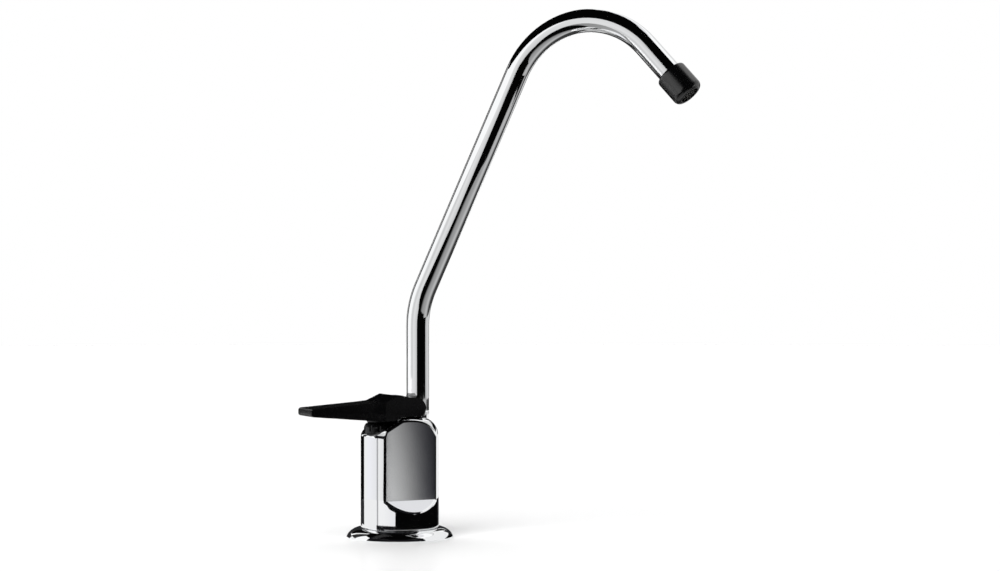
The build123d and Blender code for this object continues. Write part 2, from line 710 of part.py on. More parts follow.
# Flow straightener: drilled disc between the tube's end and the tip's lip
with BuildPart() as flow_straightener:
    with BuildSketch(end_plane.offset(END_RUN)):
        Circle(TUBE_R - CONTACT_GAP)
        Circle(STRAIGHTENER_HOLE_R, mode=Mode.SUBTRACT)
        with PolarLocations(TIP_MOUTH_R / 2, STRAIGHTENER_HOLES):
            Circle(STRAIGHTENER_HOLE_R, mode=Mode.SUBTRACT)
    extrude(amount=STRAIGHTENER_T)
flow_straightener.part.label = "flow_straightener"
export_step(flow_straightener.part, "parts/flow_straightener.step")


# Fixing stack: rubber washer against the underside of the worktop
with BuildPart() as rubber_washer:
    with BuildSketch(Plane.XY.offset(-WORKTOP_T)):
        Circle(RUBBER_WASHER_R)
        Circle(SHANK_R + LOOSE_GAP, mode=Mode.SUBTRACT)
    extrude(amount=-RUBBER_WASHER_T)
rubber_washer.part.label = "rubber_washer"
export_step(rubber_washer.part, "parts/rubber_washer.step")


# Plastic washer with a raised rim
locating_top_z = -WORKTOP_T - RUBBER_WASHER_T
with BuildPart() as locating_washer:
    with BuildSketch(Plane.XY.offset(locating_top_z)):
        Circle(LOCATING_WASHER_R)
    extrude(amount=-LOCATING_WASHER_T)
    with BuildSketch(Plane.XY.offset(locating_top_z - LOCATING_WASHER_T)):
        Circle(LOCATING_WASHER_R - LOCATING_WASHER_RIM)
    extrude(amount=LOCATING_WASHER_T / 2, mode=Mode.SUBTRACT)
    with BuildSketch(Plane.XY.offset(locating_top_z)):
        Circle(LOCK_WASHER_R + LOOSE_GAP)
    extrude(amount=-LOCATING_WASHER_T)
    with BuildSketch(Plane.XY.offset(locating_top_z)):
        Circle(SHANK_R + LOOSE_GAP)
    extrude(amount=-LOCATING_WASHER_T, mode=Mode.SUBTRACT)
locating_washer.part.label = "locating_washer"
export_step(locating_washer.part, "parts/locating_washer.step")


# Toothed lock washer
lock_top_z = locating_top_z - LOCATING_WASHER_T
with BuildPart() as lock_washer:
    with BuildSketch(Plane.XY.offset(lock_top_z)):
        Circle(LOCK_WASHER_R)
        Circle(LOCK_RING_R, mode=Mode.SUBTRACT)
        with PolarLocations(SHANK_R + LOOSE_GAP + LOCK_TOOTH_LENGTH / 2, LOCK_TEETH):
            Rectangle(LOCK_TOOTH_LENGTH, LOCK_TOOTH_WIDTH)
    extrude(amount=-LOCK_WASHER_T)
lock_washer.part.label = "lock_washer"
export_step(lock_washer.part, "parts/lock_washer.step")


def nut_blank(across, foot_z, height):
    """Hexagon bar cut to a nut's height, with the corners bevelled at both ends."""
    with BuildPart() as blank:
        with BuildSketch(Plane.XY.offset(foot_z)):
            Circle(across / 2 / cos(radians(30)))
        extrude(amount=height)
        chamfer(blank.edges().filter_by(GeomType.CIRCLE), NUT_BEVEL_H, NUT_BEVEL_W)
        with BuildSketch(Plane.XY.offset(foot_z)):
            RegularPolygon(across / 2, 6, major_radius=False)
        extrude(amount=height, mode=Mode.INTERSECT)
    return blank.part


# Hexagon fixing nut
fixing_foot_z = lock_top_z - LOCK_WASHER_T - FIXING_NUT_T
fixing_blank = nut_blank(FIXING_NUT_ACROSS, fixing_foot_z, FIXING_NUT_T)
with BuildPart() as fixing_nut:
    add(fixing_blank)
    with BuildSketch(Plane.XY.offset(fixing_foot_z)):
        Circle(SHANK_R + RUNNING_GAP)
    extrude(amount=FIXING_NUT_T, mode=Mode.SUBTRACT)
fixing_nut.part.label = "fixing_nut"
export_step(fixing_nut.part, "parts/fixing_nut.step")


# Compression nut on the foot of the shank
tube_nut_foot_z = SHANK_FOOT_Z + TUBE_NUT_GRIP - TUBE_NUT_T
tube_nut_blank = nut_blank(TUBE_NUT_ACROSS, tube_nut_foot_z, TUBE_NUT_T)
with BuildPart() as compression_nut:
    add(tube_nut_blank)
    with BuildSketch(Plane.XY.offset(tube_nut_foot_z + TUBE_NUT_FLOOR)):
        Circle(SHANK_R + THREAD_GAP)
    extrude(amount=TUBE_NUT_T - TUBE_NUT_FLOOR, mode=Mode.SUBTRACT)
    with BuildSketch(Plane.XY.offset(tube_nut_foot_z)):
        Circle(INLET_R)
    extrude(amount=TUBE_NUT_FLOOR, mode=Mode.SUBTRACT)
compression_nut.part.label = "compression_nut"
export_step(compression_nut.part, "parts/compression_nut.step")


# Tapered sleeve that the nut squeezes onto the supply tube
with BuildPart() as compression_sleeve:
    sleeve_h = SHANK_FOOT_Z - tube_nut_foot_z - TUBE_NUT_FLOOR
    with BuildSketch(Plane.XY.offset(tube_nut_foot_z + TUBE_NUT_FLOOR)):
        Circle(SLEEVE_R)
    extrude(amount=sleeve_h)
    chamfer(compression_sleeve.edges().filter_by(GeomType.CIRCLE), sleeve_h / 3)
    with BuildSketch(Plane.XY.offset(tube_nut_foot_z + TUBE_NUT_FLOOR)):
        Circle(SLEEVE_BORE_R)
    extrude(amount=sleeve_h, mode=Mode.SUBTRACT)
compression_sleeve.part.label = "compression_sleeve"
export_step(compression_sleeve.part, "parts/compression_sleeve.step")
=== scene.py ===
"""Drinking-water filter tap: finishes for the CAD parts, the lever's soft edges, the shank's
thread, and a plain white stage with the cards that the chrome shows."""

from math import ceil, cos, pi, radians, sin

import bmesh
import bpy
from bpy.props import FloatProperty, FloatVectorProperty, IntProperty, PointerProperty
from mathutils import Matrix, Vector


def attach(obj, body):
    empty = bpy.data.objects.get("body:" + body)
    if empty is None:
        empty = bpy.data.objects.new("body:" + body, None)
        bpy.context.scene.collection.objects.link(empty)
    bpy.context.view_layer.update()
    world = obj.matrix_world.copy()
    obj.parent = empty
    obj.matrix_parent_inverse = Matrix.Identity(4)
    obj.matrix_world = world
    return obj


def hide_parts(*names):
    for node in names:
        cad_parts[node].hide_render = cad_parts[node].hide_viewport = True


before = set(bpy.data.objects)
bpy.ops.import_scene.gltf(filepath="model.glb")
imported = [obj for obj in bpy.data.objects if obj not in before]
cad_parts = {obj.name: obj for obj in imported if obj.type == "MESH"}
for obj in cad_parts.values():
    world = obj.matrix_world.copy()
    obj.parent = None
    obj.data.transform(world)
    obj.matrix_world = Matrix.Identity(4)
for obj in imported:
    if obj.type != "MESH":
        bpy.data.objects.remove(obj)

bl_info = {
    "name": "Filter tap",
    "version": (1, 0, 0),
    "blender": (4, 5, 0),
    "location": "View3D > Sidebar > Filter tap",
    "description": "Dresses a drinking-water filter tap and sets a plain white stage for it",
    "category": "Object",
}

MM = 0.001
# Level direction in which the camera looks. Bearing 0 on the stage is the other way, to the camera
VIEW = (0.438, 0.899, 0.0)


def linear(colour):
    """An sRGB hex colour as linear red, green and blue."""
    parts = [int(colour[i : i + 2], 16) / 255 for i in (1, 3, 5)]
    return [c / 12.92 if c <= 0.04045 else ((c + 0.055) / 1.055) ** 2.4 for c in parts]


# Sizes and colours


class LeverSizes(bpy.types.PropertyGroup):
    tip_x: FloatProperty(
        name="Tip", description="Front end of the lever", default=-44.2 * MM, unit="LENGTH"
    )
    tip_low_z: FloatProperty(
        name="Tip underside", description="Height of the tip's lower edge",
        default=53.8 * MM, unit="LENGTH",
    )
    tip_top_z: FloatProperty(
        name="Tip top", description="Height of the tip's upper edge",
        default=57.3 * MM, unit="LENGTH",
    )
    tip_y: FloatProperty(
        name="Tip half width", description="Half the width of the tip",
        default=8.0 * MM, unit="LENGTH",
    )
    tip_r: FloatProperty(
        name="Tip rounding", description="Radius over and under the tip",
        default=1.3 * MM, unit="LENGTH",
    )
    low_x: FloatProperty(
        name="Belly", description="Lowest point of the underside, along the lever",
        default=-14.0 * MM, unit="LENGTH",
    )
    low_z: FloatProperty(
        name="Belly height", description="Height of the underside's lowest point",
        default=51.35 * MM, unit="LENGTH",
    )
    neck_x: FloatProperty(
        name="Neck", description="Where the blade meets the hub, along the lever",
        default=-16.0 * MM, unit="LENGTH",
    )
    neck_y: FloatProperty(
        name="Neck half width", description="Half the width at the neck",
        default=9.2 * MM, unit="LENGTH",
    )
    ramp_x: FloatProperty(
        name="Ramp foot", description="Where the blade's top turns up to the hub",
        default=-11.2 * MM, unit="LENGTH",
    )
    ramp_z: FloatProperty(
        name="Ramp foot height", description="Height of the ramp's foot",
        default=59.55 * MM, unit="LENGTH",
    )
    peak_x: FloatProperty(
        name="Hub peak", description="Highest edge of the hub, along the lever",
        default=-5.0 * MM, unit="LENGTH",
    )
    peak_z: FloatProperty(
        name="Hub peak height", description="Height of that edge",
        default=62.3 * MM, unit="LENGTH",
    )
    hub_x: FloatProperty(
        name="Hub top edge", description="Front edge of the hub's flat top",
        default=0.0, unit="LENGTH",
    )
    hub_z: FloatProperty(
        name="Hub top", description="Height of the hub's flat top",
        default=61.5 * MM, unit="LENGTH",
    )
    hub_y: FloatProperty(
        name="Hub half width", description="Half the width of the hub",
        default=11.0 * MM, unit="LENGTH",
    )
    rear_x: FloatProperty(
        name="Hub rear", description="Rear end of the hub's two arms",
        default=7.9 * MM, unit="LENGTH",
    )
    rear_r: FloatProperty(
        name="Hub rear rounding", description="Radius over the rear of the arms",
        default=5.5 * MM, unit="LENGTH",
    )
    heel_x: FloatProperty(
        name="Heel", description="Rear end of the belly, along the lever",
        default=-6.9 * MM, unit="LENGTH",
    )
    arm_x: FloatProperty(
        name="Arm foot", description="Front end of the arms' underside",
        default=-3.6 * MM, unit="LENGTH",
    )
    arm_z: FloatProperty(
        name="Arm underside", description="Height of the arms' lower face",
        default=53.1 * MM, unit="LENGTH",
    )
    pad_x: FloatProperty(
        name="Pad centre", description="Centre of the pad that rests on the bonnet",
        default=-8.7 * MM, unit="LENGTH",
    )
    pad_r: FloatProperty(
        name="Pad radius", description="Radius of that pad", default=6.4 * MM, unit="LENGTH"
    )
    pad_z: FloatProperty(
        name="Pad height", description="Height of the pad's lower face",
        default=50.65 * MM, unit="LENGTH",
    )
    slot_x: FloatProperty(
        name="Slot centre", description="Centre of the slot round the spout",
        default=7.3 * MM, unit="LENGTH",
    )
    slot_r: FloatProperty(
        name="Slot radius", description="Radius of that slot", default=6.2 * MM, unit="LENGTH"
    )
    tip_corner_r: FloatProperty(
        name="Tip corners", description="Radius of the tip's upright corners",
        default=3.0 * MM, unit="LENGTH",
    )
    rear_corner_r: FloatProperty(
        name="Rear corners", description="Radius of the hub's upright rear corners",
        default=2.2 * MM, unit="LENGTH",
    )
    edge_r: FloatProperty(
        name="Edge rounding", description="Radius of the moulding's outer edges",
        default=0.7 * MM, unit="LENGTH",
    )


class ThreadSizes(bpy.types.PropertyGroup):
    top_z: FloatProperty(
        name="Top", description="Upper end of the shank, inside the casting",
        default=13.0 * MM, unit="LENGTH",
    )
    foot_z: FloatProperty(
        name="Foot", description="Lower end of the shank", default=-60.0 * MM, unit="LENGTH"
    )
    crest_r: FloatProperty(
        name="Crest radius", description="Outer radius of the thread",
        default=5.55 * MM, unit="LENGTH",
    )
    depth: FloatProperty(
        name="Thread depth", description="Depth of the thread", default=0.6 * MM, unit="LENGTH"
    )
    pitch: FloatProperty(
        name="Pitch", description="Rise of one turn, 24 to the inch",
        default=25.4 / 24 * MM, unit="LENGTH",
    )
    bore_r: FloatProperty(
        name="Bore", description="Radius of the water way", default=2.75 * MM, unit="LENGTH"
    )
    inlet_r: FloatProperty(
        name="Inlet", description="Radius of the socket for the supply tube",
        default=3.25 * MM, unit="LENGTH",
    )
    inlet_depth: FloatProperty(
        name="Inlet depth", description="Depth of that socket", default=10.0 * MM, unit="LENGTH"
    )
    inlet_edge: FloatProperty(
        name="Inlet edge", description="Bevel at the socket's mouth",
        default=1.0 * MM, unit="LENGTH",
    )
    sides: IntProperty(
        name="Sides", description="Flats round the shank's mesh", default=48, min=16
    )
    rows: IntProperty(
        name="Rows a turn", description="Rows of faces in one turn of the thread",
        default=6, min=4,
    )


class Finishes(bpy.types.PropertyGroup):
    chrome: FloatVectorProperty(
        name="Chrome", description="Plating on the casting, flange and spout",
        subtype="COLOR", default=linear("#F9FAFB"),
    )
    black_abs: FloatVectorProperty(
        name="Black ABS", description="Lever, bonnet and outlet cap",
        subtype="COLOR", default=linear("#040405"),
    )
    rubber: FloatVectorProperty(
        name="Rubber", description="Gasket, washers and seals",
        subtype="COLOR", default=linear("#222222"),
    )
    nylon: FloatVectorProperty(
        name="Black nylon", description="Locating washer",
        subtype="COLOR", default=linear("#26262A"),
    )
    acetal: FloatVectorProperty(
        name="White acetal", description="Flow straightener",
        subtype="COLOR", default=linear("#E9E8E4"),
    )
    brass: FloatVectorProperty(
        name="Brass", description="Shank, nuts and sleeve",
        subtype="COLOR", default=linear("#D9B871"),
    )
    steel: FloatVectorProperty(
        name="Stainless steel", description="Stem, pin, spring and clip",
        subtype="COLOR", default=linear("#C9CACC"),
    )
    zinc: FloatVectorProperty(
        name="Zinc plate", description="Toothed lock washer",
        subtype="COLOR", default=linear("#C4C9D2"),
    )


class StageSizes(bpy.types.PropertyGroup):
    camera_at: FloatVectorProperty(
        name="Camera", description="Where the camera stands",
        subtype="TRANSLATION", unit="LENGTH", default=(-0.36012, -0.83908, 0.1098),
    )
    camera_way: FloatVectorProperty(
        name="Camera direction", description="Level direction in which it looks",
        subtype="DIRECTION", default=VIEW,
    )
    lens: FloatProperty(
        name="Lens", description="Focal length in millimetres on a 36 mm sensor",
        default=75.17, unit="CAMERA",
    )
    floor: FloatProperty(
        name="Floor", description="Radius of the white floor", default=3.0, unit="LENGTH"
    )
    sky: FloatProperty(
        name="Sky light", description="Strength of the even light from all round", default=0.41
    )
    sun: FloatProperty(
        name="Main light",
        description="Strength of the large soft light, high on the front left",
        default=2.6,
    )
    sun_way: FloatVectorProperty(
        name="Main light direction", description="Way in which it shines",
        subtype="DIRECTION", default=(0.53, 0.41, -0.74),
    )
    back: FloatProperty(
        name="Back light", description="Strength of the soft light, high behind the tap",
        default=1.15,
    )
    back_way: FloatVectorProperty(
        name="Back light direction", description="Way in which it shines",
        subtype="DIRECTION", default=(0.03, -0.51, -0.86),
    )
    softness: FloatProperty(
        name="Softness", description="Angle that each of these lights spans",
        subtype="ANGLE", default=radians(40),
    )


# Shaders


def add(tree, kind, values=(), links=(), **settings):
    """Adds a node, sets its settings and socket values, and links its sockets from others."""
    node = tree.nodes.new(kind)
    for key, value in settings.items():
        setattr(node, key, value)
    for socket, value in dict(values).items():
        node.inputs[socket].default_value = value
    for socket, source in dict(links).items():
        tree.links.new(source, node.inputs[socket])
    return node


def new_material(name):
    """A material whose node tree is empty."""
    material = bpy.data.materials.new(name)
    material.use_nodes = True
    material.node_tree.nodes.clear()
    return material


def principled(tree, values, links):
    """Ends the tree in a Principled shader."""
    shader = add(tree, "ShaderNodeBsdfPrincipled", values, links)
    add(tree, "ShaderNodeOutputMaterial", links={"Surface": shader.outputs["BSDF"]})


def opaque(colour):
    return (*colour, 1.0)


def grit(tree, size, detail=2.0, stretch=(1.0, 1.0, 1.0)):
    """Noise whose lumps are about that size in metres, in the part's own coordinates."""
    where = add(tree, "ShaderNodeTexCoord").outputs["Object"]
    scaled = add(tree, "ShaderNodeMapping", {"Scale": stretch}, {"Vector": where})
    noise = {"Scale": 1 / size, "Detail": detail}
    lumps = add(tree, "ShaderNodeTexNoise", noise, {"Vector": scaled.outputs["Vector"]})
    return lumps.outputs["Fac"]


def ranged(tree, source, low, high, start=0.0, end=1.0):
    """Turns a value between start and end into one between low and high."""
    limits = {"From Min": start, "From Max": end, "To Min": low, "To Max": high}
    return add(tree, "ShaderNodeMapRange", limits, {"Value": source}).outputs["Result"]


def bump(tree, height, depth, strength):
    """Normals of a surface with that relief, at most as deep as the depth."""
    relief = {"Strength": strength, "Distance": depth}
    return add(tree, "ShaderNodeBump", relief, {"Height": height}).outputs["Normal"]


def seen(tree):
    """1 for what the camera sees, directly or in metal, and 0 for light that falls on a surface."""
    rays = add(tree, "ShaderNodeLightPath").outputs
    either = rays["Is Camera Ray"]
    for kind in ("Is Glossy Ray", "Is Transmission Ray"):
        pair = {0: either, 1: rays[kind]}
        either = add(tree, "ShaderNodeMath", links=pair, operation="MAXIMUM").outputs["Value"]
    return either


def buffed(tree):
    """Roughness and normals of polished chromium: a film that comes and goes every few millimetres,
    and the slow waves that hand buffing leaves."""
    patches = grit(tree, 2.5 * MM, detail=4.0)
    film = ranged(tree, patches, low=0.03, high=0.06, start=0.35, end=0.7)
    waves = bump(tree, grit(tree, 9 * MM, detail=1.0), depth=0.02 * MM, strength=0.5)
    return film, waves


def chrome_plate(finish):
    """Chromium plated over polished brass and buffed: a mirror whose reflections waver a little."""
    tree = new_material("ChromePlate_Buffed").node_tree
    film, waves = buffed(tree)
    principled(
        tree,
        {"Base Color": opaque(finish.chrome), "Metallic": 1.0},
        {"Roughness": film, "Normal": waves},
    )


def casting_chrome(finish):
    """The same plate on the casting, whose two flats were ground before plating: their fine grain
    softens the edges of what they reflect."""
    tree = new_material("ChromePlate_GroundFlats").node_tree
    film, waves = buffed(tree)
    normal = add(tree, "ShaderNodeNewGeometry").outputs["Normal"]
    side = add(tree, "ShaderNodeSeparateXYZ", links={"Vector": normal}).outputs["Y"]
    facing = add(tree, "ShaderNodeMath", links={0: side}, operation="ABSOLUTE").outputs["Value"]
    # 1 on the two flats, which face along Y, and 0 on the rest of the casting
    flat = ranged(tree, facing, low=0.0, high=1.0, start=0.985, end=0.999)
    # The grinding lines run up the flats. Real ones are finer; at 0.25 mm apart they just show
    lines = grit(tree, 0.25 * MM, detail=3.0, stretch=(1.0, 1.0, 0.2))
    grain = add(tree, "ShaderNodeMath", links={0: flat, 1: lines}, operation="MULTIPLY")
    ground = add(
        tree,
        "ShaderNodeBump",
        {"Strength": 0.35, "Distance": 0.01 * MM},
        {"Height": grain.outputs["Value"], "Normal": waves},
    )
    rough = add(tree, "ShaderNodeMix", {"B": 0.06}, {"Factor": flat, "A": film})
    principled(
        tree,
        {"Base Color": opaque(finish.chrome), "Metallic": 1.0},
        {"Roughness": rough.outputs["Result"], "Normal": ground.outputs["Normal"]},
    )


def black_abs(name, colour, gloss):
    """ABS moulded in a polished tool: black, softly glossy, with the faint orange peel of
    moulding."""
    tree = new_material(name).node_tree
    uneven = grit(tree, 3 * MM, detail=4.0)
    peel = grit(tree, 0.8 * MM, detail=3.0)
    principled(
        tree,
        {"Base Color": opaque(colour), "IOR": 1.54, "Specular IOR Level": gloss},
        {
            "Roughness": ranged(tree, uneven, low=0.2, high=0.3, start=0.35, end=0.7),
            "Normal": bump(tree, peel, depth=0.01 * MM, strength=0.4),
        },
    )


def moulded(name, colour, rough, grain, depth, ior=1.5):
    """A moulded part with a matt skin: a shade that drifts a little, and a fine even grain."""
    tree = new_material(name).node_tree
    uneven = grit(tree, 2 * MM, detail=5.0)
    darker, lighter = (opaque([c * share for c in colour]) for share in (0.85, 1.1))
    shades = {"A": darker, "B": lighter}
    tint = add(tree, "ShaderNodeMix", shades, {"Factor": uneven}, data_type="RGBA")
    principled(
        tree,
        {"IOR": ior},
        {
            "Base Color": tint.outputs["Result"],
            "Roughness": ranged(tree, uneven, rough - 0.06, rough + 0.06, start=0.3, end=0.7),
            "Normal": bump(tree, grit(tree, grain), depth, strength=0.6),
        },
    )


def turned(name, colour, rough, groove):
    """Metal turned in a lathe: fine rings round the axis, which catch the light in bands."""
    tree = new_material(name).node_tree
    uneven = grit(tree, 1.5 * MM, detail=4.0)
    rings = grit(tree, groove, detail=3.0, stretch=(0.02, 0.02, 1.0))
    principled(
        tree,
        {"Base Color": opaque(colour), "Metallic": 1.0},
        {
            "Roughness": ranged(tree, uneven, rough - 0.06, rough + 0.06, start=0.3, end=0.7),
            "Normal": bump(tree, rings, depth=0.01 * MM, strength=0.5),
        },
    )


def painted_reflection_material():
    """Painted reflections: a glowing sheet, which is no lamp and which polished surfaces show as
    its own even shade.
    """
    material = new_material("Paper_Tinted")
    tree = material.node_tree
    # Each sheet glows in the painted shade of the reflection it stands for
    tint = add(tree, "ShaderNodeAttribute", attribute_name="tint").outputs["Color"]
    shade = add(tree, "ShaderNodeEmission", links={"Color": tint}).outputs["Emission"]
    # The floor's faint reflection, the one sharp mirror here, looks through these glowing sheets
    sharp = add(tree, "ShaderNodeLightPath").outputs["Is Singular Ray"]
    clear = add(tree, "ShaderNodeBsdfTransparent").outputs["BSDF"]
    either = add(tree, "ShaderNodeMixShader", links={0: sharp, 1: shade, 2: clear})
    add(tree, "ShaderNodeOutputMaterial", links={"Surface": either.outputs["Shader"]})
    return material


def white_floor():
    """White laminate pressed with a fine texture, which blurs the faint reflection of what stands
    on it. It is white to the camera except where the tap shades it or shows in it."""
    material = new_material("Laminate_WhiteSatin")
    tree = material.node_tree
    matt = add(tree, "ShaderNodeBsdfDiffuse", {"Color": opaque(linear("#E6E6E6"))})
    texture = bump(tree, grit(tree, 0.5 * MM), depth=0.05 * MM, strength=1.0)
    gloss = add(tree, "ShaderNodeBsdfGlossy", {"Roughness": 0.0}, {"Normal": texture})
    coats = {1: matt.outputs["BSDF"], 2: gloss.outputs["BSDF"]}
    satin = add(tree, "ShaderNodeMixShader", {0: 0.14}, coats)
    faint = ranged(tree, seen(tree), low=0.0, high=0.02)
    lift = add(tree, "ShaderNodeEmission", links={"Strength": faint})
    both = {0: satin.outputs["Shader"], 1: lift.outputs["Emission"]}
    floor = add(tree, "ShaderNodeAddShader", links=both)
    add(tree, "ShaderNodeOutputMaterial", links={"Surface": floor.outputs["Shader"]})
    return material


def finishes():
    """All the tap's materials, made once."""
    finish = bpy.context.scene.tap_finishes
    if "ChromePlate_Buffed" not in bpy.data.materials:
        chrome_plate(finish)
        casting_chrome(finish)
        black_abs("ABS_BlackMoulded", finish.black_abs, gloss=0.35)
        # The outlet cap is rinsed and wiped, and keeps a higher gloss
        black_abs("ABS_BlackPolished", finish.black_abs, gloss=0.9)
        # EPDM: dull, with a dusty bloom
        moulded("EPDM_Moulded", finish.rubber, rough=0.75, grain=0.3 * MM, depth=0.02 * MM)
        # Nylon 66 with a spark-eroded skin
        moulded(
            "Nylon_BlackMoulded",
            finish.nylon,
            rough=0.55,
            grain=0.25 * MM,
            depth=0.02 * MM,
            ior=1.53,
        )
        # Acetal: white and waxy
        moulded(
            "Acetal_WhiteMoulded",
            finish.acetal,
            rough=0.35,
            grain=0.6 * MM,
            depth=0.01 * MM,
            ior=1.48,
        )
        # Free-cutting brass, bare from the lathe
        turned("Brass_Turned", finish.brass, rough=0.24, groove=0.15 * MM)
        # Stainless steel, drawn or turned
        turned("Stainless_Turned", finish.steel, rough=0.2, groove=0.12 * MM)
        # Bright zinc on pressed steel, with the rolling lines of the sheet
        turned("ZincPlate_Pressed", finish.zinc, rough=0.3, groove=0.3 * MM)
    return bpy.data.materials


def paint(mesh, material):
    mesh.materials.clear()
    mesh.materials.append(material)


def dress(material, *nodes):
    """Gives carried-over CAD nodes a finish."""
    for name in nodes:
        paint(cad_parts[name].data, finishes()[material])


# Meshes


def place(name, data):
    """Adds an object to the scene."""
    thing = bpy.data.objects.new(name, data)
    bpy.context.scene.collection.objects.link(thing)
    return thing


def stand_in(piece, material, body, node):
    """Finishes a new piece and puts it in a CAD node's place."""
    paint(piece.data, finishes()[material])
    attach(piece, body)
    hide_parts(node)


def band(bm, low, high):
    """Faces between two rings of as many corners."""
    for i in range(len(low)):
        j = (i + 1) % len(low)
        bm.faces.new((low[i], low[j], high[j], high[i]))


def closed(name, bm):
    """An object of the finished mesh, with its faces turned outward."""
    bmesh.ops.recalc_face_normals(bm, faces=bm.faces)
    mesh = bpy.data.meshes.new(name)
    bm.to_mesh(mesh)
    bm.free()
    return place(name, mesh)


def prism(name, outline, way, start, end):
    """A solid between two offsets along an axis, Y or Z, from an outline in the other two."""
    bm = bmesh.new()
    low, high = (
        [bm.verts.new((u, at, v) if way == "Y" else (u, v, at)) for u, v in outline]
        for at in (start, end)
    )
    band(bm, low, high)
    bm.faces.new(low[::-1])
    bm.faces.new(high)
    return closed(name, bm)


def arc(cx, cy, r, start, end, steps):
    """Points on an arc, angles in degrees."""
    turns = [radians(start + (end - start) * i / steps) for i in range(steps + 1)]
    return [(cx + r * cos(t), cy + r * sin(t)) for t in turns]


def bake(piece):
    """Replaces the piece's mesh by what its modifiers make of it."""
    shown = piece.evaluated_get(bpy.context.evaluated_depsgraph_get())
    mesh = bpy.data.meshes.new_from_object(shown)
    piece.modifiers.clear()
    piece.data = mesh


def cut(target, tool, how):
    """Joins, cuts or intersects the target with the tool, and removes the tool."""
    change = target.modifiers.new("cut", "BOOLEAN")
    change.operation, change.solver, change.object = how, "EXACT", tool
    bake(target)
    bpy.data.objects.remove(tool)


def soften(piece, radius, segments, angle):
    """Rounds the edges sharper than the angle, and shades the faces between them as flat."""
    bevel = piece.modifiers.new("edges", "BEVEL")
    bevel.width, bevel.segments = radius, segments
    bevel.limit_method, bevel.angle_limit = "ANGLE", radians(angle)
    bevel.use_clamp_overlap = True
    bevel.harden_normals = True
    bake(piece)
